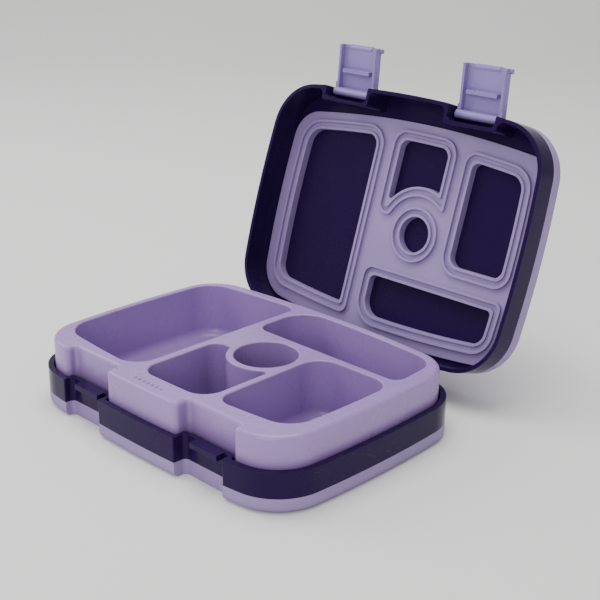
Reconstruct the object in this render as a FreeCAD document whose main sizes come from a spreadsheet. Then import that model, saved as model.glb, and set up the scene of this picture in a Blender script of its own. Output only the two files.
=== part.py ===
"""Bento lunch box with a lift-out tray.

A soft-booted base and lid, a tray with five wells, a silicone lid seal and two snap latches. Millimetres.
+Z is up, +X runs along the hinge and +Y points to the hinge at the back. The origin is the centre of the
flat underside. The box stands open: the lid rests at its open stop and the latches stand out from it.
"""

import FreeCAD, Part

import math
import os

import Sketcher

SIZES = {
    # overall
    "body_width": 216.0,
    "body_depth": 159.0,
    "total_height": 50.6,
    "parting_height": 23.5,
    "corner_radius": 31.0,
    "long_side_radius": 725.0,
    "short_side_radius": 690.0,
    # shells and boots
    "rim_wall": 3.4,
    "floor_wall": 2.0,
    "lid_wall": 2.4,
    "lid_roof_wall": 1.8,
    "rim_gap": 0.3,
    "boot_skin": 1.5,
    "base_boot_height": 9.0,
    "lid_boot_height": 12.6,
    "boot_edge_radius": 4.0,
    "lid_edge_radius": 7.0,
    "cavity_corner_radius": 1.7,
    "cavity_inner_radius": 2.3,
    "cavity_edge_radius": 1.5,
    "lid_cavity_corner": 3.7,
    "lid_cavity_inner": 2.5,
    "lid_shelf_drop": 6.4,
    # latch recesses in the front
    "latch_centre": 50.0,
    "recess_half_width": 17.5,
    "base_recess_depth": 8.9,
    "lid_recess_depth": 10.5,
    "lid_recess_drop": 9.0,
    "recess_wall": 2.2,
    "recess_corner_radius": 0.8,
    "recess_inner_radius": 3.0,
    # tray
    "tray_inset": 4.4,
    "tray_top_drop": 9.6,
    "tray_skirt_bottom": 18.5,
    "tray_wall": 1.8,
    "tray_edge_radius": 2.6,
    "tray_corner_radius": 3.2,
    "tray_inner_radius": 2.7,
    "tray_notch_gap": 1.8,
    "tray_notch_side_gap": 0.6,
    "well_wall": 1.6,
    "well_floor": 5.4,
    "well_lip_radius": 0.9,
    # edges of the wells
    "well_left_rim": 10.0,
    "well_right_rim": 14.8,
    "well_front_rim": 19.5,
    "well_back_rim": 10.5,
    "main_right": 22.8,
    "main_back_rim": 12.1,
    "snack_left": 17.6,
    "snack_right": 35.1,
    "snack_back": 3.2,
    "side_left": 39.8,
    "side_front_rim": 22.5,
    "side_back": 23.4,
    "wide_left": 17.2,
    "wide_front": 28.5,
    "dip_x": 16.1,
    "dip_y": 4.0,
    "dip_radius": 18.5,
    "dip_bridge": 4.6,
    # seal
    "seal_front": 15.0,
    "seal_side": 2.9,
    "seal_back": 5.0,
    "seal_step": 3.6,
    "seal_gap": 0.3,
    "seal_face_drop": 7.4,
    "ridge_tip_drop": 9.3,
    "window_inset": 7.2,
    "ridge_inset": 0.9,
    "ridge_width": 1.7,
    "band_inset": 5.4,
    "band_height": 1.2,
    # latches
    "latch_side_gap": 1.9,
    "latch_pin_depth": 5.2,
    "latch_pin_z": 32.4,
    "latch_pin_radius": 1.0,
    "latch_pin_grip": 1.6,
    "latch_barrel_radius": 2.7,
    "latch_heel_flare": 0.9,
    "latch_heel": 3.4,
    "latch_face_depth": 0.3,
    "latch_plate": 1.8,
    "latch_rib": 1.7,
    "latch_rib_depth": 3.4,
    "latch_reach": 30.4,
    "lip_radius": 1.5,
    "lip_flare": 1.5,
    "lip_crown_radius": 1.9,
    "lip_crown_half": 9.0,
    "hook_height": 2.4,
    "hook_depth": 3.8,
    "hook_gap": 0.7,
    "hook_margin": 2.6,
    "catch_left_gap": 5.9,
    "catch_right_gap": 0.9,
    "catch_bottom": 20.4,
    "catch_depth": 3.6,
    "running_clearance": 0.05,
    # hinge
    "hinge_centre": 50.0,
    "hinge_setback": 3.9,
    "hinge_z": 16.3,
    "knuckle_radius": 3.2,
    "hinge_pin_radius": 1.25,
    "lid_knuckle_half": 8.0,
    "knuckle_gap": 0.35,
    "base_knuckle": 5.6,
    "hinge_arm_height": 12.0,
    "hinge_arm_gap": 0.4,
    # pose
    "lid_open_angle": 108.0,
    "latch_open_angle": 77.0,
    # raised dots on the tray's front flange
    "dot_radius": 0.9,
    "dot_height": 0.4,
    "dot_pitch": 3.6,
    "dot_row_depth": 11.0,
}
DOT_COUNT = 7

doc = FreeCAD.newDocument("bento_lunch_box")
sheet = doc.addObject("Spreadsheet::Sheet", "sizes")
for row, (alias, number) in enumerate(SIZES.items(), start=1):
    sheet.set(f"A{row}", alias)
    sheet.set(f"B{row}", str(number))
    sheet.setAlias(f"B{row}", alias)
doc.recompute()


class Size:
    """A length with the sheet expression that gives it."""

    def __init__(self, value, text):
        self.value = float(value)
        self.text = text

    @staticmethod
    def of(other):
        return other if isinstance(other, Size) else Size(other, repr(float(other)))

    def __add__(self, other):
        other = Size.of(other)
        return Size(self.value + other.value, f"({self.text} + {other.text})")

    def __radd__(self, other):
        return Size.of(other) + self

    def __sub__(self, other):
        other = Size.of(other)
        return Size(self.value - other.value, f"({self.text} - {other.text})")

    def __rsub__(self, other):
        return Size.of(other) - self

    def __mul__(self, number):
        return Size(self.value * number, f"({self.text} * {float(number)!r})")

    def __rmul__(self, number):
        return self * number

    def __truediv__(self, number):
        return Size(self.value / number, f"({self.text} / {float(number)!r})")

    def __neg__(self):
        return Size(-self.value, f"(0 - {self.text})")


def size(alias):
    """The named cell of the sheet."""
    return Size(sheet.get(alias), f"sizes.{alias}")


ZERO = Size(0, "0")
half_width = size("body_width") / 2
half_depth = size("body_depth") / 2
roof_top = size("total_height")
hinge_y = half_depth + size("hinge_setback")
base_recess_floor = half_depth - size("base_recess_depth")
lid_recess_floor = half_depth - size("lid_recess_depth")
tray_notch_floor = lid_recess_floor - size("recess_wall") - size("tray_notch_gap")
latch_pin_y = half_depth - size("latch_pin_depth")
latch_face = half_depth - size("latch_face_depth")
catch_front = half_depth - size("catch_depth")
dot_row_y = half_depth - size("dot_row_depth")
well_left = half_width - size("well_left_rim")
well_right = half_width - size("well_right_rim")
well_front = half_depth - size("well_front_rim")
well_back = half_depth - size("well_back_rim")
main_back = half_depth - size("main_back_rim")
side_front = half_depth - size("side_front_rim")
tray_top = roof_top - size("tray_top_drop")
lid_recess_top = roof_top - size("lid_recess_drop")
lid_shelf = roof_top - size("lid_shelf_drop")
seal_face = roof_top - size("seal_face_drop")
ridge_tip = roof_top - size("ridge_tip_drop")


# --- outlines -------------------------------------------------------------------------------------


class XLine:
    """A side along Y at a given x. way is +1 when it is travelled towards +Y."""

    def __init__(self, x, way):
        self.x, self.way = x, way

    def moved(self, distance):
        return ("x", self.x.value - self.way * distance)

    def touch(self, centre):
        return (self.x.value, centre[1])


class YLine:
    """A side along X at a given y. way is +1 when it is travelled towards +X."""

    def __init__(self, y, way):
        self.y, self.way = y, way

    def moved(self, distance):
        return ("y", self.y.value + self.way * distance)

    def touch(self, centre):
        return (centre[0], self.y.value)


class Bow:
    """A side that is an arc about a centre. way is +1 when it is travelled anticlockwise."""

    def __init__(self, x, y, radius, way=1):
        self.x, self.y, self.radius, self.way = x, y, radius, way

    def moved(self, distance):
        return ("arc", self.x.value, self.y.value, self.radius.value - self.way * distance)

    def touch(self, centre):
        dx, dy = centre[0] - self.x.value, centre[1] - self.y.value
        scale = self.radius.value / math.hypot(dx, dy)
        return (self.x.value + dx * scale, self.y.value + dy * scale)


def eased(radius, grow):
    """A corner radius drawn outwards by grow, and never under half its own size."""
    grown = Size.of(radius) + grow
    least = Size.of(radius / 2)
    return Size(max(grown.value, least.value), f"max({grown.text}; {least.text})")


class Corner:
    """A rounded corner between two sides. turn is +1 where the outline turns left, which is outwards."""

    def __init__(self, radius, near, turn=1):
        self.radius, self.near, self.turn = radius, near, turn


def meeting_points(first, second):
    """Where two moved sides cross."""
    if first[0] == "arc" and second[0] == "arc":
        _, ax, ay, ra = first
        _, bx, by, rb = second
        gap = math.hypot(bx - ax, by - ay)
        along = (ra * ra - rb * rb + gap * gap) / (2 * gap)
        across = math.sqrt(max(ra * ra - along * along, 0.0))
        ux, uy = (bx - ax) / gap, (by - ay) / gap
        px, py = ax + ux * along, ay + uy * along
        return [(px - uy * across, py + ux * across), (px + uy * across, py - ux * across)]
    if first[0] != "arc" and second[0] != "arc":
        values = {first[0]: first[1], second[0]: second[1]}
        return [(values["x"], values["y"])]
    line, arc = (second, first) if first[0] == "arc" else (first, second)
    _, cx, cy, radius = arc
    if line[0] == "x":
        reach = math.sqrt(max(radius * radius - (line[1] - cx) ** 2, 0.0))
        return [(line[1], cy + reach), (line[1], cy - reach)]
    reach = math.sqrt(max(radius * radius - (line[1] - cy) ** 2, 0.0))
    return [(cx + reach, line[1]), (cx - reach, line[1])]


def add_arc(sketch, centre, radius, start, end):
    """An arc drawn anticlockwise from start to end. Returns its index."""
    angles = [math.atan2(p[1] - centre[1], p[0] - centre[0]) for p in (start, end)]
    circle = Part.Circle(FreeCAD.Vector(centre[0], centre[1], 0), FreeCAD.Vector(0, 0, 1), radius)
    return sketch.addGeometry(Part.ArcOfCircle(circle, angles[0], angles[1]), False)


def bind(sketch, kind, *ends, to):
    """Add a dimension to the sketch and bind it to its size."""
    index = sketch.addConstraint(Sketcher.Constraint(kind, *ends, to.value))
    name = f"size_{index}"
    sketch.renameConstraint(index, name)
    sketch.setExpression(f"Constraints.{name}", to.text)


def place_point(sketch, geometry, position, x, y):
    """Hold a point of the sketch at x and y."""
    bind(sketch, "DistanceX", -1, 1, geometry, position, to=x)
    bind(sketch, "DistanceY", -1, 1, geometry, position, to=y)


def ring(sketch, sides, corners):
    """Draw a closed outline, anticlockwise. corners[i] joins sides[i] to sides[i + 1]."""
    count = len(sides)
    centres = []
    for index, corner in enumerate(corners):
        distance = corner.turn * corner.radius.value
        points = meeting_points(sides[index].moved(distance), sides[(index + 1) % count].moved(distance))
        near = corner.near
        centres.append(min(points, key=lambda p: math.hypot(p[0] - near[0], p[1] - near[1])))
    pieces = []
    for index, side in enumerate(sides):
        start = side.touch(centres[index - 1])
        end = side.touch(centres[index])
        if isinstance(side, Bow):
            ends = (start, end) if side.way > 0 else (end, start)
            piece = add_arc(sketch, (side.x.value, side.y.value), side.radius.value, *ends)
            place_point(sketch, piece, 3, side.x, side.y)
            bind(sketch, "Radius", piece, to=side.radius)
            pieces.append((piece, 1, 2) if side.way > 0 else (piece, 2, 1))
        else:
            line = Part.LineSegment(FreeCAD.Vector(*start, 0), FreeCAD.Vector(*end, 0))
            piece = sketch.addGeometry(line, False)
            if isinstance(side, XLine):
                sketch.addConstraint(Sketcher.Constraint("Vertical", piece))
                bind(sketch, "DistanceX", -1, 1, piece, 1, to=side.x)
            else:
                sketch.addConstraint(Sketcher.Constraint("Horizontal", piece))
                bind(sketch, "DistanceY", -1, 1, piece, 1, to=side.y)
            pieces.append((piece, 1, 2))
        corner = corners[index]
        following = sides[(index + 1) % count]
        touch = following.touch(centres[index])
        ends = (end, touch) if corner.turn > 0 else (touch, end)
        piece = add_arc(sketch, centres[index], corner.radius.value, *ends)
        bind(sketch, "Radius", piece, to=corner.radius)
        pieces.append((piece, 1, 2) if corner.turn > 0 else (piece, 2, 1))
    for index, (piece, _, end) in enumerate(pieces):
        after, start, _ = pieces[(index + 1) % len(pieces)]
        sketch.addConstraint(Sketcher.Constraint("Tangent", piece, end, after, start))


def front_bow(inset):
    return Bow(ZERO, size("long_side_radius") - half_depth, size("long_side_radius") - inset)


def back_bow(inset):
    return Bow(ZERO, half_depth - size("long_side_radius"), size("long_side_radius") - inset)


def right_bow(inset):
    return Bow(half_width - size("short_side_radius"), ZERO, size("short_side_radius") - inset)


def left_bow(inset):
    return Bow(size("short_side_radius") - half_width, ZERO, size("short_side_radius") - inset)


def body_corner(x_way, y_way, inset, radius=None):
    near = (x_way * half_width.value, y_way * half_depth.value)
    return Corner(radius or size("corner_radius") - inset, near)


def plain_outline(sketch, inset):
    """The box's rounded outline, drawn in from its outer face by inset."""
    ring(
        sketch,
        [front_bow(inset), right_bow(inset), back_bow(inset), left_bow(inset)],
        [body_corner(x, y, inset) for x, y in ((1, -1), (1, 1), (-1, 1), (-1, -1))],
    )


def notched_outline(sketch, inset, half_opening, floor_y, outer_radius, inner_radius):
    """The outline with the two latch recesses let into its front."""
    centre = size("latch_centre")
    sides, corners = [front_bow(inset)], []
    for middle in (-centre, centre):
        low, high = middle - half_opening, middle + half_opening
        front_y = -half_depth.value
        sides += [XLine(low, 1), YLine(-floor_y, 1), XLine(high, -1), front_bow(inset)]
        corners += [
            Corner(outer_radius, (low.value, front_y), 1),
            Corner(inner_radius, (low.value, -floor_y.value), -1),
            Corner(inner_radius, (high.value, -floor_y.value), -1),
            Corner(outer_radius, (high.value, front_y), 1),
        ]
    sides += [right_bow(inset), back_bow(inset), left_bow(inset)]
    corners += [body_corner(x, y, inset) for x, y in ((1, -1), (1, 1), (-1, 1), (-1, -1))]
    ring(sketch, sides, corners)


# --- bodies and features --------------------------------------------------------------------------


def new_body(label):
    body = doc.addObject("PartDesign::Body", label)
    body.Label = label
    return body


def new_sketch(body, name, offset, role="XY_Plane"):
    """A sketch on one of the body's own planes, moved along the plane's normal by offset."""
    sketch = body.newObject("Sketcher::SketchObject", f"{body.Label}_{name}")
    plane = [item for item in body.Origin.OriginFeatures if item.Role == role][0]
    sketch.AttachmentSupport = [(plane, "")]
    sketch.MapMode = "FlatFace"
    sketch.setExpression("AttachmentOffset.Base.z", Size.of(offset).text)
    return sketch


def feature(body, kind, sketch, length, backwards=False):
    """Pad or pocket a sketch, and check that it changed the body's volume."""
    before = body.Shape.Volume if body.Tip else 0.0
    item = body.newObject(f"PartDesign::{kind}", f"{sketch.Label}_{kind.lower()}")
    item.Profile = sketch
    item.setExpression("Length", Size.of(length).text)
    item.Reversed = backwards
    sketch.Visibility = False
    doc.recompute()
    change = body.Shape.Volume - before
    if (change > 1e-3) != (kind == "Pad") or abs(change) < 1e-3:
        raise RuntimeError(f"{item.Label} changed the volume by {change:.3f}")
    return item


def pad(body, sketch, length, backwards=False):
    return feature(body, "Pad", sketch, length, backwards)


def pocket(body, sketch, length, backwards=False):
    """A pocket cuts against the sketch's normal, or along it when backwards."""
    return feature(body, "Pocket", sketch, length, backwards)


def edges_at(shape, height, inside=None):
    """Names of the edges that lie wholly at one height."""
    names = []
    for index, edge in enumerate(shape.Edges, start=1):
        box = edge.BoundBox
        if abs(box.ZMin - height) < 1e-4 and abs(box.ZMax - height) < 1e-4:
            if inside is None or inside(edge):
                names.append(f"Edge{index}")
    return names


def round_edges(body, names, radius, kind="Fillet"):
    """Fillet or chamfer the named edges of the body as it stands."""
    base, before = body.Tip, body.Shape.Volume
    item = body.newObject(f"PartDesign::{kind}", f"{body.Label}_{kind.lower()}")
    item.Base = (base, names)
    item.setExpression("Radius" if kind == "Fillet" else "Size", Size.of(radius).text)
    doc.recompute()
    if not names or abs(body.Shape.Volume - before) < 1e-4 or not body.Shape.isValid():
        raise RuntimeError(f"{item.Label} did not round its {len(names)} edges")
    return item


def box_sketch(sketch, x_low, x_high, y_low, y_high):
    """A rectangle held at four sizes."""
    points = [(x_low, y_low), (x_high, y_low), (x_high, y_high), (x_low, y_high)]
    lines = []
    for index, start in enumerate(points):
        end = points[(index + 1) % 4]
        segment = Part.LineSegment(
            FreeCAD.Vector(start[0].value, start[1].value, 0), FreeCAD.Vector(end[0].value, end[1].value, 0)
        )
        lines.append(sketch.addGeometry(segment, False))
    for index, line in enumerate(lines):
        sketch.addConstraint(Sketcher.Constraint("Coincident", line, 2, lines[(index + 1) % 4], 1))
        sketch.addConstraint(Sketcher.Constraint("Horizontal" if index % 2 == 0 else "Vertical", line))
    place_point(sketch, lines[0], 1, x_low, y_low)
    place_point(sketch, lines[2], 1, x_high, y_high)


def circle_sketch(sketch, x, y, radius):
    circle = Part.Circle(FreeCAD.Vector(x.value, y.value, 0), FreeCAD.Vector(0, 0, 1), radius.value)
    piece = sketch.addGeometry(circle, False)
    place_point(sketch, piece, 3, x, y)
    bind(sketch, "Radius", piece, to=radius)


def pad_box(body, name, x, y, z):
    """Add a block between two sizes on each axis."""
    sketch = new_sketch(body, name, z[0])
    box_sketch(sketch, *x, *y)
    return pad(body, sketch, z[1] - z[0])


def cut_box(body, name, x, y, z):
    """Cut a block between two sizes on each axis."""
    sketch = new_sketch(body, name, z[0])
    box_sketch(sketch, *x, *y)
    return pocket(body, sketch, z[1] - z[0], backwards=True)


def disc_along_x(body, name, kind, y, z, radius, x_low, x_high):
    """Pad or cut a cylinder along X."""
    sketch = new_sketch(body, name, x_low, role="YZ_Plane")
    circle_sketch(sketch, y, z, radius)
    if kind == "Pad":
        return pad(body, sketch, x_high - x_low)
    return pocket(body, sketch, x_high - x_low, backwards=True)


def strap_along_x(body, name, points, x_low, x_high):
    """Pad a closed polygon in the YZ plane along X. Its points are held at their sizes."""
    sketch = new_sketch(body, name, x_low, role="YZ_Plane")
    lines = []
    for index, start in enumerate(points):
        end = points[(index + 1) % len(points)]
        segment = Part.LineSegment(
            FreeCAD.Vector(start[0].value, start[1].value, 0), FreeCAD.Vector(end[0].value, end[1].value, 0)
        )
        lines.append(sketch.addGeometry(segment, False))
    for index, line in enumerate(lines):
        sketch.addConstraint(Sketcher.Constraint("Coincident", line, 2, lines[(index + 1) % len(lines)], 1))
        place_point(sketch, line, 1, *points[index])
    return pad(body, sketch, x_high - x_low)


# --- base -----------------------------------------------------------------------------------------

recess_half = size("recess_half_width")
latch_half = recess_half - size("latch_side_gap")
latch_hollow = latch_half - size("latch_rib")
recess_corner = size("recess_corner_radius")
recess_inner = size("recess_inner_radius")
skin = size("boot_skin")
parting = size("parting_height")
latch_centres = {"left": -size("latch_centre"), "right": size("latch_centre")}
hinge_centres = {"left": -size("hinge_centre"), "right": size("hinge_centre")}


def base_outline(sketch, inset):
    """The base's outer outline with its latch recesses, drawn in by inset."""
    notched_outline(
        sketch, inset, recess_half + inset, base_recess_floor - inset, recess_corner + inset, recess_inner
    )


def make_base_shell():
    body = new_body("base_shell")
    boot_top = size("base_boot_height")
    lower = new_sketch(body, "lower", skin)
    base_outline(lower, skin)
    pad(body, lower, boot_top - skin)
    band = new_sketch(body, "band", boot_top)
    base_outline(band, ZERO)
    pad(body, band, parting - boot_top)
    cavity = new_sketch(body, "cavity", parting)
    wall = size("recess_wall")
    notched_outline(
        cavity,
        size("rim_wall"),
        recess_half + wall,
        base_recess_floor - wall,
        size("cavity_corner_radius"),
        size("cavity_inner_radius"),
    )
    floor = skin + size("floor_wall")
    pocket(body, cavity, parting - floor)
    round_edges(body, edges_at(body.Shape, floor.value), size("cavity_edge_radius"))
    for name, centre in latch_centres.items():
        low = centre - latch_hollow + size("catch_left_gap")
        high = centre + latch_hollow - size("catch_right_gap")
        pad_box(
            body,
            f"catch_{name}",
            (low, high),
            (-catch_front, -base_recess_floor + 0.5),
            (size("catch_bottom"), parting),
        )
    axis_y, axis_z = hinge_y, size("hinge_z")
    radius = size("knuckle_radius")
    reach = size("lid_knuckle_half") + size("knuckle_gap")
    for name, centre in hinge_centres.items():
        for end, way in (("inner", -1), ("outer", 1)):
            ends = (centre + reach * way, centre + (reach + size("base_knuckle")) * way)
            low, high = ends if way > 0 else ends[::-1]
            disc_along_x(body, f"knuckle_{name}_{end}", "Pad", axis_y, axis_z, radius, low, high)
            strap_along_x(
                body,
                f"ear_{name}_{end}",
                [
                    (half_depth - size("rim_wall") + 0.3, axis_z - radius - 2.5),
                    (axis_y, axis_z - radius),
                    (axis_y, axis_z + radius),
                    (half_depth - size("rim_wall") + 0.3, axis_z + radius),
                ],
                low,
                high,
            )
            disc_along_x(
                body, f"eye_{name}_{end}", "Pocket", axis_y, axis_z, size("hinge_pin_radius"), low, high
            )
    return body


def make_base_boot():
    body = new_body("base_boot")
    boot_top = size("base_boot_height")
    outer = new_sketch(body, "outer", ZERO)
    plain_outline(outer, ZERO)
    pad(body, outer, boot_top)
    round_edges(body, edges_at(body.Shape, 0.0), size("boot_edge_radius"))
    inner = new_sketch(body, "inner", boot_top)
    base_outline(inner, skin)
    pocket(body, inner, boot_top - skin)
    recesses = new_sketch(body, "recesses", boot_top)
    for centre in latch_centres.values():
        recess_outline(recesses, centre, recess_half, base_recess_floor, half_depth + 5.0)
    pocket(body, recesses, boot_top)
    return body


def recess_outline(sketch, centre, half_opening, floor_y, front_y):
    """A recess from the floor out past the front, with its two inner corners rounded."""
    low, high = centre - half_opening, centre + half_opening
    ring(
        sketch,
        [YLine(-front_y, 1), XLine(high, 1), YLine(-floor_y, -1), XLine(low, -1)],
        [
            Corner(recess_inner, (high.value, -front_y.value)),
            Corner(recess_inner, (high.value, -floor_y.value)),
            Corner(recess_inner, (low.value, -floor_y.value)),
            Corner(recess_inner, (low.value, -front_y.value)),
        ],
    )


# --- tray -----------------------------------------------------------------------------------------


def main_well(sketch, grow):
    """The large left well, drawn outwards by grow."""
    front_inset = half_depth - well_front - grow
    back_inset = half_depth - main_back - grow
    left_inset = half_width - well_left - grow
    right = XLine(-size("main_right") + grow, 1)
    w, d = well_left.value, well_front.value
    ring(
        sketch,
        [front_bow(front_inset), right, back_bow(back_inset), left_bow(left_inset)],
        [
            Corner(eased(14.6, grow), (-size("main_right").value, -d)),
            Corner(eased(6.5, grow), (-size("main_right").value, d)),
            Corner(eased(17.0, grow), (-w, d)),
            Corner(eased(18.5, grow), (-w, -d)),
        ],
    )


def snack_well(sketch, grow):
    """The front middle well, with the bite that the round well takes out of its back edge."""
    front_inset = half_depth - well_front - grow
    right_x, left_x = size("snack_right") + grow, -size("snack_left") - grow
    back_y = -size("snack_back") + grow
    bite = Bow(size("dip_x"), size("dip_y"), size("dip_radius") + size("dip_bridge") - grow, -1)
    front, back = -well_front.value, -size("snack_back").value
    sides = [front_bow(front_inset), XLine(right_x, 1), bite, YLine(back_y, -1), XLine(left_x, -1)]
    corners = [
        Corner(eased(12.7, grow), (size("snack_right").value, front)),
        Corner(eased(2.6, grow), (size("snack_right").value, back - 6)),
        Corner(eased(3.4, grow), (size("dip_x").value - bite.radius.value, back)),
        Corner(eased(8.0, grow), (left_x.value, back)),
        Corner(eased(11.0, grow), (left_x.value, front)),
    ]
    lobe = bite.x.value - bite.radius.value - left_x.value
    if lobe < 0:
        del sides[3], corners[3]
    ring(sketch, sides, corners)


def side_well(sketch, grow):
    """The well at the right, in front of the wide one."""
    front_inset = half_depth - side_front - grow
    right_inset = half_width - well_right - grow
    left_x, back_y = size("side_left") - grow, size("side_back") + grow
    right, front, back = well_right.value, -side_front.value, size("side_back").value
    ring(
        sketch,
        [front_bow(front_inset), right_bow(right_inset), YLine(back_y, -1), XLine(left_x, -1)],
        [
            Corner(eased(16.6, grow), (right, front)),
            Corner(eased(12.0, grow), (right, back)),
            Corner(eased(14.0, grow), (size("side_left").value, back)),
            Corner(eased(9.3, grow), (size("side_left").value, front)),
        ],
    )


def wide_well(sketch, grow):
    """The wide well at the back right."""
    right_inset = half_width - well_right - grow
    back_inset = half_depth - well_back - grow
    left_x, front_y = -size("wide_left") - grow, size("wide_front") - grow
    right, front, back = well_right.value, size("wide_front").value, well_back.value
    ring(
        sketch,
        [YLine(front_y, 1), right_bow(right_inset), back_bow(back_inset), XLine(left_x, -1)],
        [
            Corner(eased(6.0, grow), (right, front)),
            Corner(eased(15.4, grow), (right, back)),
            Corner(eased(18.3, grow), (left_x.value, back)),
            Corner(eased(8.7, grow), (left_x.value, front)),
        ],
    )


def dip_well(sketch, grow):
    """The small round well."""
    circle_sketch(sketch, size("dip_x"), size("dip_y"), size("dip_radius") + grow)


WELLS = {
    "main": (main_well, 6.0),
    "snack": (snack_well, 2.4),
    "side": (side_well, 6.0),
    "wide": (wide_well, 5.0),
    "dip": (dip_well, 5.0),
}


def make_food_tray():
    body = new_body("food_tray")
    top, wall, inset = tray_top, size("tray_wall"), size("tray_inset")
    bottom = size("tray_skirt_bottom")
    notch_half = recess_half + size("recess_wall") + size("tray_notch_side_gap")
    notch_floor = tray_notch_floor
    outer = new_sketch(body, "outer", bottom)
    outer_round, inner_round = size("tray_corner_radius"), size("tray_inner_radius")
    notched_outline(outer, inset, notch_half, notch_floor, outer_round, inner_round)
    pad(body, outer, top - bottom)
    round_edges(body, edges_at(body.Shape, top.value), size("tray_edge_radius"))
    under = new_sketch(body, "under", bottom)
    notched_outline(
        under,
        inset + wall,
        notch_half + wall,
        notch_floor - wall,
        outer_round,
        inner_round,
    )
    pocket(body, under, top - wall - bottom, backwards=True)
    well_floor = size("well_floor")
    well_bottom = well_floor - size("well_wall")
    for name, (outline, _) in WELLS.items():
        shell = new_sketch(body, f"{name}_shell", well_bottom)
        outline(shell, size("well_wall"))
        pad(body, shell, top - wall - well_bottom + 0.2)
    for name, (outline, floor_radius) in WELLS.items():
        hollow = new_sketch(body, f"{name}_hollow", top)
        outline(hollow, ZERO)
        pocket(body, hollow, top - well_floor)
        inner = edges_at(body.Shape, well_floor.value, lambda edge, n=name: in_well(edge, n))
        round_edges(body, inner, Size.of(floor_radius))
        outer = edges_at(body.Shape, well_bottom.value, lambda edge, n=name: in_well(edge, n))
        round_edges(body, outer, floor_radius + size("well_wall") * 0.5)
    lips = edges_at(body.Shape, top.value, lambda edge: any(in_well(edge, name) for name in WELLS))
    round_edges(body, lips, size("well_lip_radius"))
    dots = new_sketch(body, "dots", top)
    for index in range(DOT_COUNT):
        offset = size("dot_pitch") * (index - (DOT_COUNT - 1) / 2)
        circle_sketch(dots, offset, -dot_row_y, size("dot_radius"))
    pad(body, dots, size("dot_height"))
    return body


def in_well(edge, name):
    """Whether an edge belongs to the named well's outline, judged by its middle."""
    middle = edge.valueAt((edge.FirstParameter + edge.LastParameter) / 2)
    slack = size("well_wall").value + 0.3
    boxes = {
        "main": (-well_left, -size("main_right"), -well_front, main_back),
        "snack": (-size("snack_left"), size("snack_right"), -well_front, -size("snack_back")),
        "side": (size("side_left"), well_right, -side_front, size("side_back")),
        "wide": (-size("wide_left"), well_right, size("wide_front"), well_back),
    }
    dip_gap = math.hypot(middle.x - size("dip_x").value, middle.y - size("dip_y").value)
    in_dip = dip_gap < size("dip_radius").value + slack
    if name == "dip":
        return in_dip
    x_low, x_high, y_low, y_high = [bound.value for bound in boxes[name]]
    inside_x = x_low - slack < middle.x < x_high + slack
    inside_y = y_low - slack < middle.y < y_high + slack
    return inside_x and inside_y and not in_dip


# --- lid, drawn closed and then turned open -------------------------------------------------------

lid_rim = parting + size("rim_gap")
lid_ceiling = roof_top - skin - size("lid_roof_wall")
lid_step = roof_top - size("lid_boot_height")


def lid_outline(sketch, inset):
    """The lid's outline with its latch recesses. inset moves the sides and leaves the recesses alone."""
    notched_outline(sketch, inset, recess_half, lid_recess_floor, recess_corner, recess_inner)


def seal_outline(sketch, side, gap=ZERO):
    """The seal's outline. side is how far it stands in from the lid's outer face at the sides."""
    front, back = size("seal_front") - gap, size("seal_back") + side - size("seal_side") - gap
    side = side - gap
    ring(
        sketch,
        [front_bow(front), right_bow(side), back_bow(back), left_bow(side)],
        [
            body_corner(1, -1, front, Size.of(20.0)),
            body_corner(1, 1, back, Size.of(24.0)),
            body_corner(-1, 1, back, Size.of(24.0)),
            body_corner(-1, -1, front, Size.of(20.0)),
        ],
    )


def make_lid_shell():
    body = new_body("lid_shell")
    recess_top = lid_recess_top
    band = new_sketch(body, "band", lid_rim)
    lid_outline(band, ZERO)
    pad(body, band, lid_step - lid_rim)
    shoulder = new_sketch(body, "shoulder", lid_step)
    lid_outline(shoulder, skin)
    pad(body, shoulder, recess_top - lid_step)
    crown = new_sketch(body, "crown", recess_top)
    plain_outline(crown, skin)
    pad(body, crown, roof_top - skin - recess_top)
    round_edges(body, edges_at(body.Shape, (roof_top - skin).value), size("lid_edge_radius") - skin)
    cavity = new_sketch(body, "cavity", lid_rim)
    wall = size("recess_wall")
    notched_outline(
        cavity,
        size("lid_wall"),
        recess_half + wall,
        lid_recess_floor - wall,
        size("lid_cavity_corner"),
        size("lid_cavity_inner"),
    )
    pocket(body, cavity, lid_shelf - lid_rim, backwards=True)
    seat = new_sketch(body, "seat", lid_shelf)
    seal_outline(seat, size("seal_side") + size("seal_step"), size("seal_gap"))
    pocket(body, seat, lid_ceiling - lid_shelf, backwards=True)
    pin_y, pin_z, pin_radius = -latch_pin_y, size("latch_pin_z"), size("latch_pin_radius")
    reach = recess_half + size("latch_pin_grip")
    for name, centre in latch_centres.items():
        low, high = centre - reach, centre + reach
        disc_along_x(body, f"latch_hole_{name}", "Pocket", pin_y, pin_z, pin_radius, low, high)
    axis_y, axis_z, radius = hinge_y, size("hinge_z"), size("knuckle_radius")
    half = size("lid_knuckle_half")
    wall_y = half_depth - size("lid_wall") - 0.7
    for name, centre in hinge_centres.items():
        low, high = centre - half, centre + half
        strap_along_x(
            body,
            f"arm_{name}",
            [
                (axis_y - radius, axis_z),
                (axis_y + radius, axis_z),
                (axis_y + radius, lid_rim + 1.5),
                (wall_y, lid_rim + size("hinge_arm_height")),
                (wall_y, lid_rim + size("hinge_arm_gap")),
                (axis_y - radius, lid_rim + size("hinge_arm_gap")),
            ],
            low,
            high,
        )
        disc_along_x(body, f"knuckle_{name}", "Pad", axis_y, axis_z, radius, low, high)
        bore = size("hinge_pin_radius") + size("running_clearance")
        disc_along_x(body, f"bore_{name}", "Pocket", axis_y, axis_z, bore, low, high)
    return body


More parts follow.
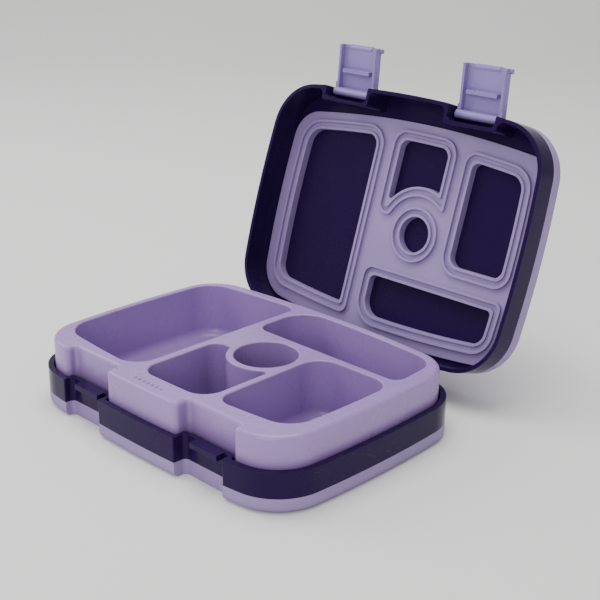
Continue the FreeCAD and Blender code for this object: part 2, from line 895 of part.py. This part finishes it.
def make_lid_boot():
    body = new_body("lid_boot")
    recess_top = lid_recess_top
    lower = new_sketch(body, "lower", lid_step)
    lid_outline(lower, ZERO)
    pad(body, lower, recess_top - lid_step)
    upper = new_sketch(body, "upper", recess_top)
    plain_outline(upper, ZERO)
    pad(body, upper, roof_top - recess_top)
    hollow = new_sketch(body, "hollow", lid_step)
    plain_outline(hollow, skin)
    pocket(body, hollow, roof_top - skin - lid_step, backwards=True)
    round_edges(body, edges_at(body.Shape, (roof_top - skin).value), size("lid_edge_radius") - skin)
    round_edges(body, edges_at(body.Shape, roof_top.value), size("lid_edge_radius"))
    return body


def make_lid_seal():
    body = new_body("lid_seal")
    face, shelf = seal_face, lid_shelf
    sheet_sketch = new_sketch(body, "sheet", face)
    seal_outline(sheet_sketch, size("seal_side"))
    pad(body, sheet_sketch, shelf - face)
    plug = new_sketch(body, "plug", shelf)
    seal_outline(plug, size("seal_side") + size("seal_step"))
    pad(body, plug, lid_ceiling - shelf)
    ridge_in, ridge_out = size("ridge_inset") + size("ridge_width"), size("ridge_inset")
    for name, (outline, _) in WELLS.items():
        ridge = new_sketch(body, f"{name}_ridge", face)
        outline(ridge, -ridge_out)
        outline(ridge, -ridge_in)
        pad(body, ridge, face - ridge_tip, backwards=True)
    for name, (outline, _) in WELLS.items():
        band = new_sketch(body, f"{name}_band", face)
        outline(band, -size("band_inset"))
        pad(body, band, size("band_height"), backwards=True)
    for name, (outline, _) in WELLS.items():
        window = new_sketch(body, f"{name}_window", face - 2 * size("band_height"))
        outline(window, -size("window_inset"))
        pocket(body, window, lid_ceiling - face + 2 * size("band_height"), backwards=True)
    return body


# --- latches, drawn clipped and then turned open --------------------------------------------------


def make_latch(name, centre):
    body = new_body(f"latch_{name}")
    face, plate = -latch_face, size("latch_plate")
    inner = face + plate
    half, rib = latch_half, size("latch_rib")
    pin_y, pin_z = -latch_pin_y, size("latch_pin_z")
    barrel = size("latch_barrel_radius")
    bottom, top = pin_z - size("latch_reach"), pin_z + barrel
    low, high = centre - half, centre + half
    pad_box(body, "plate", (low, high), (face, inner), (bottom, top))
    for end, x in (("left", (low, low + rib)), ("right", (high - rib, high))):
        pad_box(body, f"rib_{end}", x, (inner, inner + size("latch_rib_depth")), (bottom, pin_z))
    pad_box(body, "web", (low, high), (inner, pin_y), (pin_z - barrel, top))
    flare = size("latch_heel_flare")
    disc_along_x(body, "barrel", "Pad", pin_y, pin_z, barrel, low - flare, high + flare)
    heel = pin_z - barrel - size("latch_heel")
    for end, x in (("left", (low - flare, low + rib)), ("right", (high - rib, high + flare))):
        pad_box(body, f"heel_{end}", x, (inner, pin_y + 0.4), (heel, pin_z))
    lip_half, lip = half + size("lip_flare"), size("lip_radius")
    crown, crown_half = size("lip_crown_radius"), size("lip_crown_half")
    for end, radius, reach in (("lip", lip, lip_half), ("crown", crown, crown_half)):
        disc_along_x(body, end, "Pad", face + 0.4, bottom + lip, radius, centre - reach, centre + reach)
    hook_top = size("catch_bottom") - size("hook_gap")
    hook_half = latch_hollow - size("hook_margin")
    pad_box(
        body,
        "hook",
        (centre - hook_half, centre + hook_half),
        (inner, inner + size("hook_depth")),
        (hook_top - size("hook_height"), hook_top),
    )
    bore = size("latch_pin_radius") + size("running_clearance")
    disc_along_x(body, "bore", "Pocket", pin_y, pin_z, bore, low - flare, high + flare)
    return body


def make_latch_pin(name, centre):
    body = new_body(f"latch_pin_{name}")
    reach = recess_half + size("latch_pin_grip")
    pin_y, pin_z, radius = -latch_pin_y, size("latch_pin_z"), size("latch_pin_radius")
    disc_along_x(body, "rod", "Pad", pin_y, pin_z, radius, centre - reach, centre + reach)
    return body


def make_hinge_pin(name, centre):
    body = new_body(f"hinge_pin_{name}")
    reach = size("lid_knuckle_half") + size("knuckle_gap") + size("base_knuckle")
    axis_y, axis_z, radius = hinge_y, size("hinge_z"), size("hinge_pin_radius")
    disc_along_x(body, "rod", "Pad", axis_y, axis_z, radius, centre - reach, centre + reach)
    return body


# --- assembly -------------------------------------------------------------------------------------


def turn_about_x(y, z, angle):
    """The placement that turns a part about a line along X."""
    turn = FreeCAD.Rotation(FreeCAD.Vector(1, 0, 0), angle)
    return FreeCAD.Placement(FreeCAD.Vector(0, 0, 0), turn, FreeCAD.Vector(0, y, z))


def build():
    opened = turn_about_x(hinge_y.value, size("hinge_z").value, -size("lid_open_angle").value)
    released = turn_about_x(-latch_pin_y.value, size("latch_pin_z").value, -size("latch_open_angle").value)
    fixed = [make_base_shell(), make_base_boot(), make_food_tray()]
    lid = [make_lid_shell(), make_lid_boot(), make_lid_seal()]
    latches = []
    for name, centre in latch_centres.items():
        latches.append(make_latch(name, centre))
        lid.append(make_latch_pin(name, centre))
    for name, centre in hinge_centres.items():
        fixed.append(make_hinge_pin(name, centre))
    for body in lid:
        body.Placement = opened
    for body in latches:
        body.Placement = opened * released
    doc.recompute()
    return fixed + lid + latches


parts = build()
for item in doc.Objects:
    if "Invalid" in item.State or "Error" in item.State:
        raise RuntimeError(f"{item.Label} did not build: {item.State}")
os.makedirs("parts", exist_ok=True)
for body in parts:
    shape = body.Shape
    if shape.isNull() or not shape.isValid() or len(shape.Solids) != 1:
        raise RuntimeError(f"{body.Label} is not one valid solid")
    shape.exportStep(f"parts/{body.Label}.step")
    print(f"{body.Label}: {shape.Volume:.0f} mm3")
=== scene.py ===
"""A bento lunch box in lavender and dark violet, standing open on a pale floor."""

from __future__ import annotations

import logging
import math
from dataclasses import dataclass, field
from enum import Enum

import bpy
from mathutils import Matrix, Vector


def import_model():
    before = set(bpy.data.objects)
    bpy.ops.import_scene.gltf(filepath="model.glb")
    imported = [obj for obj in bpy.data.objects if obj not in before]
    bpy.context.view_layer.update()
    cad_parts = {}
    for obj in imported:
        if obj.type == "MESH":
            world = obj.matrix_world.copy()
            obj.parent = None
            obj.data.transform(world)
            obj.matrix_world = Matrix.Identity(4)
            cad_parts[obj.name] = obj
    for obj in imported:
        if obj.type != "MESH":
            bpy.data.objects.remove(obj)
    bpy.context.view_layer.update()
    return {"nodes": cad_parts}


LOG = logging.getLogger("bento_box")
MM = 0.001

Colour = tuple[float, float, float]

# shader lengths
# how far the painted shade in creases and corners reaches
CREASE_SHADE_REACH = 6.0 * MM
# how far the painted shade inside hollows reaches
HOLLOW_SHADE_REACH = 38.0 * MM
SCATTER_DEPTH = 1.4 * MM
SCATTER_RADIUS = (0.9, 0.6, 1.0)
BUMP_DEPTH = 0.12 * MM
EDGE_ROUNDING = 0.45 * MM
MOULDED_IOR = 1.46
DUST_COLOUR = (0.42, 0.41, 0.44)
# each set of scratches: how far its direction is turned, and where it starts
SCRATCH_SETS = ((0.5, 0.0), (1.9, 3.1), (2.7, 7.7))

# camera
AZIMUTH = math.radians(44.23)
DIP = math.radians(20.59)
ROLL = math.radians(0.56)
CAMERA_PLACE = (465.8, -427.4, 308.6)
LENS_LENGTH = 71.5
SENSOR_WIDTH = 36.0
LENS_SHIFT = (-0.0070, -0.0017)


def from_screen(red: float, green: float, blue: float) -> Colour:
    """Converts a screen colour to linear light.

    Args:
        red: Red from 0 to 255.
        green: Green from 0 to 255.
        blue: Blue from 0 to 255.

    Returns:
        The linear colour.
    """

    def channel(value: float) -> float:
        """One channel in linear light."""
        part = value / 255.0
        return part / 12.92 if part <= 0.04045 else ((part + 0.055) / 1.055) ** 2.4

    return channel(red), channel(green), channel(blue)


class Grain(Enum):
    """How a moulded surface is textured."""

    POLISHED = "polished"
    SATIN = "satin"
    SOFT_TOUCH = "soft touch"
    SILICONE = "silicone"
    DRAWN_WIRE = "drawn wire"


@dataclass(frozen=True)
class Relief:
    """The fine texture of a surface.

    Attributes:
        scale: Features per metre.
        strength: How strongly it bends the light.
        stretch: How the coordinates are stretched along each axis.
    """

    scale: float
    strength: float
    stretch: tuple[float, float, float] = (1.0, 1.0, 1.0)


RELIEFS = {
    Grain.POLISHED: Relief(900.0, 0.012),
    Grain.SATIN: Relief(2200.0, 0.05),
    Grain.SOFT_TOUCH: Relief(1700.0, 0.13),
    Grain.SILICONE: Relief(1300.0, 0.09),
    Grain.DRAWN_WIRE: Relief(1500.0, 0.06, (0.05, 1.0, 1.0)),
}


@dataclass(frozen=True)
class Finish:
    """One surface finish.

    Attributes:
        name: The material's name.
        colour: Its linear base colour.
        roughness: Mean roughness.
        grain: The kind of fine texture.
        mottle: How far the colour wanders, as a fraction.
        wear: How strong the fine scratches and scuffs are, from 0 to 1.
        specks: How many dust specks show, from 0 to 1.
        scatter: Weight of the light that scatters below the surface.
        metallic: 1 for bare metal.
        shine: How strongly the surface mirrors its surroundings.
        hollow_shade: How much painted shade darkens the colour inside hollows, from 0 to 1.
        tint: The colour of its mirror reflection.
    """

    name: str
    colour: Colour
    roughness: float
    grain: Grain
    mottle: float = 0.05
    wear: float = 0.3
    specks: float = 0.0
    scatter: float = 0.0
    metallic: float = 0.0
    shine: float = 0.5
    # strength of the painted shade inside hollows
    hollow_shade: float = 0.0
    tint: Colour = (1.0, 1.0, 1.0)


DARK = Finish(
    "dark_plastic",
    from_screen(32, 15, 58),
    0.19,
    Grain.POLISHED,
    mottle=0.08,
    wear=0.5,
    specks=0.15,
    shine=0.15,
    tint=(0.85, 0.72, 1.0),
)
BOOT = Finish(
    "boot_rubber",
    from_screen(152, 134, 183),
    0.58,
    Grain.SOFT_TOUCH,
    mottle=0.07,
    wear=0.3,
    specks=0.3,
    hollow_shade=0.2,
)
TRAY = Finish(
    "tray_plastic",
    from_screen(158, 129, 189),
    0.27,
    Grain.SATIN,
    mottle=0.04,
    wear=0.4,
    specks=0.12,
    scatter=0.1,
    hollow_shade=0.42,
)
SEAL = Finish(
    "seal_silicone",
    from_screen(150, 132, 182),
    0.6,
    Grain.SILICONE,
    mottle=0.06,
    wear=0.2,
    specks=0.55,
    scatter=0.08,
    hollow_shade=0.2,
)
LATCH = Finish(
    "latch_plastic",
    from_screen(142, 125, 186),
    0.27,
    Grain.SATIN,
    mottle=0.04,
    wear=0.35,
    specks=0.1,
    scatter=0.05,
    hollow_shade=0.2,
)
STEEL = Finish("steel", (0.55, 0.55, 0.57), 0.28, Grain.DRAWN_WIRE, mottle=0.08, metallic=1.0)
FINISHES = (DARK, BOOT, TRAY, SEAL, LATCH, STEEL)


class Graph:
    """A shader tree with short ways to add and wire nodes."""

    def __init__(self, name: str) -> None:
        """Starts an empty material.

        Args:
            name: The material's name.
        """
        self.material = bpy.data.materials.new(name)
        self.material.use_nodes = True
        self.tree = self.material.node_tree
        self.tree.nodes.clear()

    def add(self, kind: str, /, **settings: object) -> bpy.types.Node:
        """Adds a node.

        Args:
            kind: The node type without its prefix.
            **settings: Attributes to set on it.

        Returns:
            The node.
        """
        node = self.tree.nodes.new(f"ShaderNode{kind}")
        for key, value in settings.items():
            setattr(node, key, value)
        return node

    def put(self, socket: bpy.types.NodeSocket, source: object) -> None:
        """Sets a socket to a constant or wires it to an output.

        Args:
            socket: The input socket.
            source: A number, a colour or an output socket.
        """
        if isinstance(source, bpy.types.NodeSocket):
            self.tree.links.new(source, socket)
        elif isinstance(source, tuple) and len(source) == 3 and socket.type == "RGBA":
            socket.default_value = (*source, 1.0)
        else:
            socket.default_value = source

    def math(self, operation: str, first: object, second: object = 0.0) -> object:
        """Adds a math node.

        Args:
            operation: The operation's name.
            first: The first number or output.
            second: The second number or output.

        Returns:
            Its output socket.
        """
        node = self.add("Math", operation=operation)
        self.put(node.inputs[0], first)
        self.put(node.inputs[1], second)
        return node.outputs[0]

    def noise(
        self, coords: object, scale: float, detail: float = 3.0, stretch: tuple = (1, 1, 1)
    ) -> object:
        """Adds fractal noise.

        Args:
            coords: The coordinates it is read at.
            scale: Features per metre.
            detail: Octaves.
            stretch: How the coordinates are stretched first.

        Returns:
            Its value, about 0.5.
        """
        mapping = self.add("Mapping")
        mapping.inputs["Scale"].default_value = stretch
        self.put(mapping.inputs["Vector"], coords)
        node = self.add("TexNoise")
        node.inputs["Scale"].default_value = scale
        node.inputs["Detail"].default_value = detail
        self.put(node.inputs["Vector"], mapping.outputs[0])
        return node.outputs["Fac"]

    def remap(
        self, value: object, low: float, high: float, out_low: float = 0.0, out_high: float = 1.0
    ) -> object:
        """Maps a value from one range to another, held at its ends.

        Args:
            value: The value.
            low: Where it starts.
            high: Where it ends.
            out_low: The result at the start.
            out_high: The result at the end.

        Returns:
            The mapped value.
        """
        node = self.add("MapRange", clamp=True)
        for socket, number in zip(list(node.inputs)[1:5], (low, high, out_low, out_high)):
            socket.default_value = number
        self.put(node.inputs[0], value)
        return node.outputs[0]

    def blend(self, factor: object, first: object, second: object) -> object:
        """Mixes two colours.

        Args:
            factor: How much of the second.
            first: The first colour.
            second: The second colour.

        Returns:
            The mixed colour.
        """
        node = self.add("Mix", data_type="RGBA")
        self.put(node.inputs[0], factor)
        self.put(node.inputs[6], first)
        self.put(node.inputs[7], second)
        return node.outputs[2]


def scratches(graph: Graph, coords: object, strength: float) -> object:
    """Fine crossing hairline scratches.

    Args:
        graph: The material's graph.
        coords: Object coordinates.
        strength: How many show.

    Returns:
        A mask that is 1 on a scratch.
    """
    total: object = 0.0
    for turn, seed in SCRATCH_SETS:
        mapping = graph.add("Mapping")
        mapping.inputs["Rotation"].default_value = (0.4 * turn, 0.7 * turn, turn)
        mapping.inputs["Location"].default_value = (seed, seed, seed)
        graph.put(mapping.inputs["Vector"], coords)
        streak = graph.noise(mapping.outputs[0], 60.0, 2.0, (1.0, 22.0, 22.0))
        patch = graph.noise(mapping.outputs[0], 18.0, 1.0)
        line = graph.remap(streak, 0.655 - 0.02 * strength, 0.69)
        line = graph.math("MULTIPLY", line, graph.remap(patch, 0.5, 0.62))
        total = graph.math("ADD", total, line)
    return graph.math("MINIMUM", total, 1.0)


def make_material(finish: Finish) -> bpy.types.Material:
    """Builds a procedural material.

    Args:
        finish: What it looks like.

    Returns:
        The material.
    """
    graph = Graph(finish.name)
    coords = graph.add("TexCoord").outputs["Object"]
    shader = graph.add("BsdfPrincipled")
    output = graph.add("OutputMaterial")
    graph.put(output.inputs["Surface"], shader.outputs[0])

    broad = graph.noise(coords, 9.0, 4.0)
    fine = graph.noise(coords, 420.0, 3.0)
    darker = tuple(channel * (1.0 - 2.2 * finish.mottle) for channel in finish.colour)
    lighter = tuple(min(1.0, channel * (1.0 + 1.4 * finish.mottle)) for channel in finish.colour)
    colour = graph.blend(graph.remap(broad, 0.3, 0.7), darker, lighter)
    colour = graph.blend(graph.math("MULTIPLY", fine, finish.mottle * 1.4), colour, lighter)

    # painted shade: the colour darkens, in patches, within a few millimetres of creases and corners
    # where shade falls
    crease_occlusion = graph.add("AmbientOcclusion", samples=4, inside=False)
    crease_occlusion.inputs["Distance"].default_value = CREASE_SHADE_REACH
    crease_shade = graph.remap(crease_occlusion.outputs["AO"], 0.35, 0.95, 1.0, 0.0)
    patches = graph.remap(graph.noise(coords, 60.0), 0.35, 0.65, 0.25, 0.6)
    crease_shade_mask = graph.math("MULTIPLY", crease_shade, patches)
    crease_shade_colour = tuple(c * 0.55 for c in finish.colour)
    colour = graph.blend(graph.math("MULTIPLY", crease_shade_mask, 0.35), colour, crease_shade_colour)

    # painted shade: the colour darkens inside deep hollows such as the tray's wells, standing in
    # for the shade that falls there
    hollow_occlusion = graph.add("AmbientOcclusion", samples=6, inside=False)
    hollow_occlusion.inputs["Distance"].default_value = HOLLOW_SHADE_REACH
    hollow_shade_mask = graph.remap(hollow_occlusion.outputs["AO"], 0.2, 0.9, finish.hollow_shade, 0.0)
    shaded = tuple(c**1.25 * 0.35 for c in finish.colour)
    colour = graph.blend(hollow_shade_mask, colour, shaded)

    worn = scratches(graph, coords, finish.wear)
    pale = tuple(min(1.0, c * 1.25 + 0.035) for c in finish.colour)
    colour = graph.blend(graph.math("MULTIPLY", worn, 0.45 * finish.wear), colour, pale)

    cells = graph.add("TexVoronoi", feature="F1")
    cells.inputs["Scale"].default_value = 260.0
    graph.put(cells.inputs["Vector"], coords)
    dust = graph.remap(cells.outputs["Distance"], 0.05, 0.10, 1.0, 0.0)
    rare = graph.math("GREATER_THAN", graph.noise(coords, 95.0, 1.0), 0.62 - 0.06 * finish.specks)
    dust = graph.math("MULTIPLY", graph.math("MULTIPLY", dust, rare), finish.specks)
    dark_dust = finish.grain is Grain.SILICONE
    speck = tuple(c * 0.45 for c in finish.colour) if dark_dust else DUST_COLOUR
    colour = graph.blend(graph.math("MULTIPLY", dust, 0.7), colour, speck)
    graph.put(shader.inputs["Base Color"], colour)

    smear = graph.noise(coords, 26.0, 5.0, (1.0, 1.6, 0.8))
    smooth, dull = finish.roughness * 0.86, min(1.0, finish.roughness * 1.2)
    rough = graph.remap(smear, 0.3, 0.72, smooth, dull)
    rough = graph.math("ADD", rough, graph.math("MULTIPLY", worn, 0.18 * finish.wear))
    graph.put(shader.inputs["Roughness"], rough)
    shader.inputs["Metallic"].default_value = finish.metallic
    shader.inputs["IOR"].default_value = MOULDED_IOR
    shader.inputs["Specular IOR Level"].default_value = finish.shine
    shader.inputs["Specular Tint"].default_value = (*finish.tint, 1.0)
    shader.inputs["Subsurface Weight"].default_value = finish.scatter
    shader.inputs["Subsurface Radius"].default_value = SCATTER_RADIUS
    shader.inputs["Subsurface Scale"].default_value = SCATTER_DEPTH

    relief = RELIEFS[finish.grain]
    height = graph.noise(coords, relief.scale, 2.0, relief.stretch)
    height = graph.math("SUBTRACT", height, graph.math("MULTIPLY", worn, 0.5 * finish.wear))
    wave = graph.noise(coords, 14.0, 2.0)
    height = graph.math("ADD", height, graph.math("MULTIPLY", wave, 0.7))
    bump = graph.add("Bump")
    bump.inputs["Strength"].default_value = relief.strength * 3.0
    bump.inputs["Distance"].default_value = BUMP_DEPTH
    graph.put(bump.inputs["Height"], height)

    soft = graph.add("Bevel", samples=4)
    soft.inputs["Radius"].default_value = EDGE_ROUNDING
    graph.put(soft.inputs["Normal"], bump.outputs["Normal"])
    graph.put(shader.inputs["Normal"], soft.outputs["Normal"])
    return graph.material


@dataclass
class Shell:
    """The CAD pieces of one material, re-dressed in place.

    Attributes:
        finish: Their finish.
        nodes: The CAD nodes that wear it.
    """

    finish: Finish
    nodes: tuple[str, ...]

    def dress(
        self, cad: dict[str, bpy.types.Object], materials: dict[str, bpy.types.Material]
    ) -> None:
        """Gives the pieces their material.

        Args:
            cad: The CAD objects by node name.
            materials: The materials by name.
        """
        for name in self.nodes:
            mesh = cad[name].data
            mesh.materials.clear()
            mesh.materials.append(materials[self.finish.name])
            LOG.info("dressed %s in %s", name, self.finish.name)


@dataclass
class LunchBox:
    """The whole lunch box.

    Attributes:
        shells: Its pieces grouped by finish.
    """

    shells: list[Shell] = field(
        default_factory=lambda: [
            Shell(DARK, ("base_shell", "lid_shell")),
            Shell(BOOT, ("base_boot", "lid_boot")),
            Shell(TRAY, ("food_tray",)),
            Shell(SEAL, ("lid_seal",)),
            Shell(LATCH, ("latch_left", "latch_right")),
            Shell(STEEL, ("latch_pin_left", "latch_pin_right")),
            Shell(STEEL, ("hinge_pin_left", "hinge_pin_right")),
        ]
    )

    def build(self, cad: dict[str, bpy.types.Object]) -> None:
        """Dresses every piece.

        Args:
            cad: The CAD objects by node name.
        """
        materials = {finish.name: make_material(finish) for finish in FINISHES}
        for shell in self.shells:
            shell.dress(cad, materials)


@dataclass(frozen=True)
class Lamp:
    """A square soft light.

    Attributes:
        name: Its name.
        place: Where it hangs, in metres.
        width: Its side in metres.
        watts: Its power.
        tint: Its colour.
    """

    name: str
    place: tuple[float, float, float]
    width: float
    watts: float
    tint: Colour


LAMPS = (
    Lamp("overhead", (-0.15, 0.1, 1.5), 1.1, 19.5, (1.0, 0.985, 0.98)),
    Lamp("left", (-1.3, -0.5, 0.9), 0.8, 9.0, (0.98, 0.97, 1.0)),
    Lamp("front", (0.7, -1.5, 0.9), 1.0, 13.0, (1.0, 0.98, 0.99)),
)
SURROUND_COLOUR = (0.89, 0.885, 0.9, 1.0)
SURROUND_STRENGTH = 0.58

# floor and backdrop, in metres
FLOOR_FRONT = 3.0
FLOOR_BACK = 1.2
FLOOR_SIDE = 4.0
CURVE_RADIUS = 0.9
CURVE_STEPS = 14
BACKDROP_TOP = 4.0


@dataclass
class Studio:
    """The floor, lights and camera.

    Attributes:
        centre: What the lights point at.
        floor_colour: The floor's linear colour.
    """

    centre: Vector = field(default_factory=lambda: Vector((0.0, 0.04, 0.05)))
    floor_colour: Colour = from_screen(238, 238, 236)

    def floor(self) -> None:
        """Lays a seamless pale floor that curves up into a backdrop."""
        profile = [(-FLOOR_FRONT, 0.0), (FLOOR_BACK, 0.0)]
        for index in range(1, CURVE_STEPS + 1):
            angle = math.pi / 2 * index / CURVE_STEPS
            along = FLOOR_BACK + CURVE_RADIUS * math.sin(angle)
            profile.append((along, CURVE_RADIUS * (1 - math.cos(angle))))
        profile.append((FLOOR_BACK + CURVE_RADIUS, BACKDROP_TOP))
        vertices, faces = [], []
        for side in (-FLOOR_SIDE, FLOOR_SIDE):
            vertices += [(side, y, z) for y, z in profile]
        count = len(profile)
        for index in range(count - 1):
            faces.append((index, index + count, index + 1 + count, index + 1))
        mesh = bpy.data.meshes.new("floor")
        mesh.from_pydata([tuple(turned(v)) for v in vertices], [], faces)
        mesh.polygons.foreach_set("use_smooth", [True] * len(faces))
        graph = Graph("floor")
        coords = graph.add("TexCoord").outputs["Object"]
        shader = graph.add("BsdfPrincipled")
        output = graph.add("OutputMaterial")
        graph.put(output.inputs["Surface"], shader.outputs[0])
        cloud = graph.remap(graph.noise(coords, 2.5, 3.0), 0.3, 0.7)
        pale = self.floor_colour
        shaded = tuple(c * 0.97 for c in pale)
        graph.put(shader.inputs["Base Color"], graph.blend(cloud, shaded, pale))
        shader.inputs["Roughness"].default_value = 0.75
        shader.inputs["Specular IOR Level"].default_value = 0.2
        mesh.materials.append(graph.material)
        floor = bpy.data.objects.new("floor", mesh)
        bpy.context.scene.collection.objects.link(floor)

    def hang(self, lamp: Lamp) -> None:
        """Hangs one light and points it at the centre.

        Args:
            lamp: The light.
        """
        data = bpy.data.lights.new(lamp.name, "AREA")
        data.shape, data.size, data.energy, data.color = "SQUARE", lamp.width, lamp.watts, lamp.tint
        holder = bpy.data.objects.new(lamp.name, data)
        holder.location = lamp.place
        holder.rotation_mode = "QUATERNION"
        holder.rotation_quaternion = (self.centre - Vector(lamp.place)).to_track_quat("-Z", "Y")
        bpy.context.scene.collection.objects.link(holder)

    def lights(self) -> None:
        """Hangs the soft lights and sets a dim surround."""
        for lamp in LAMPS:
            self.hang(lamp)
        world = bpy.data.worlds.new("surround")
        world.use_nodes = True
        background = world.node_tree.nodes["Background"]
        background.inputs["Color"].default_value = SURROUND_COLOUR
        background.inputs["Strength"].default_value = SURROUND_STRENGTH
        bpy.context.scene.world = world

    def camera(self) -> None:
        """Sets the camera where the reference view was taken."""
        level = math.cos(DIP)
        along = Vector((-math.sin(AZIMUTH) * level, math.cos(AZIMUTH) * level, -math.sin(DIP)))
        right = Vector((math.cos(AZIMUTH), math.sin(AZIMUTH), 0.0))
        up = right.cross(along)
        right, up = (
            right * math.cos(ROLL) + up * math.sin(ROLL),
            up * math.cos(ROLL) - right * math.sin(ROLL),
        )
        lens = bpy.data.cameras.new("camera")
        lens.lens, lens.sensor_width = LENS_LENGTH, SENSOR_WIDTH
        lens.shift_x, lens.shift_y = LENS_SHIFT
        lens.clip_start, lens.clip_end = 0.01, 50.0
        holder = bpy.data.objects.new("camera", lens)
        holder.matrix_world = Matrix.Translation(Vector(CAMERA_PLACE) * MM) @ Matrix(
            (
                (right.x, up.x, -along.x, 0.0),
                (right.y, up.y, -along.y, 0.0),
                (right.z, up.z, -along.z, 0.0),
                (0.0, 0.0, 0.0, 1.0),
            )
        )
        bpy.context.scene.collection.objects.link(holder)
        bpy.context.scene.camera = holder


def turned(point: tuple[float, float, float]) -> Vector:
    """A point of the backdrop, turned so that it stands behind the object as the camera sees it."""
    return Matrix.Rotation(AZIMUTH, 3, "Z") @ Vector(point)


def main() -> None:
    """Builds the lunch box, the studio and the camera."""
    logging.basicConfig(level=logging.INFO)
    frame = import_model()
    LunchBox().build(frame["nodes"])
    studio = Studio()
    studio.floor()
    studio.lights()
    studio.camera()


if __name__ == "__main__":
    main()
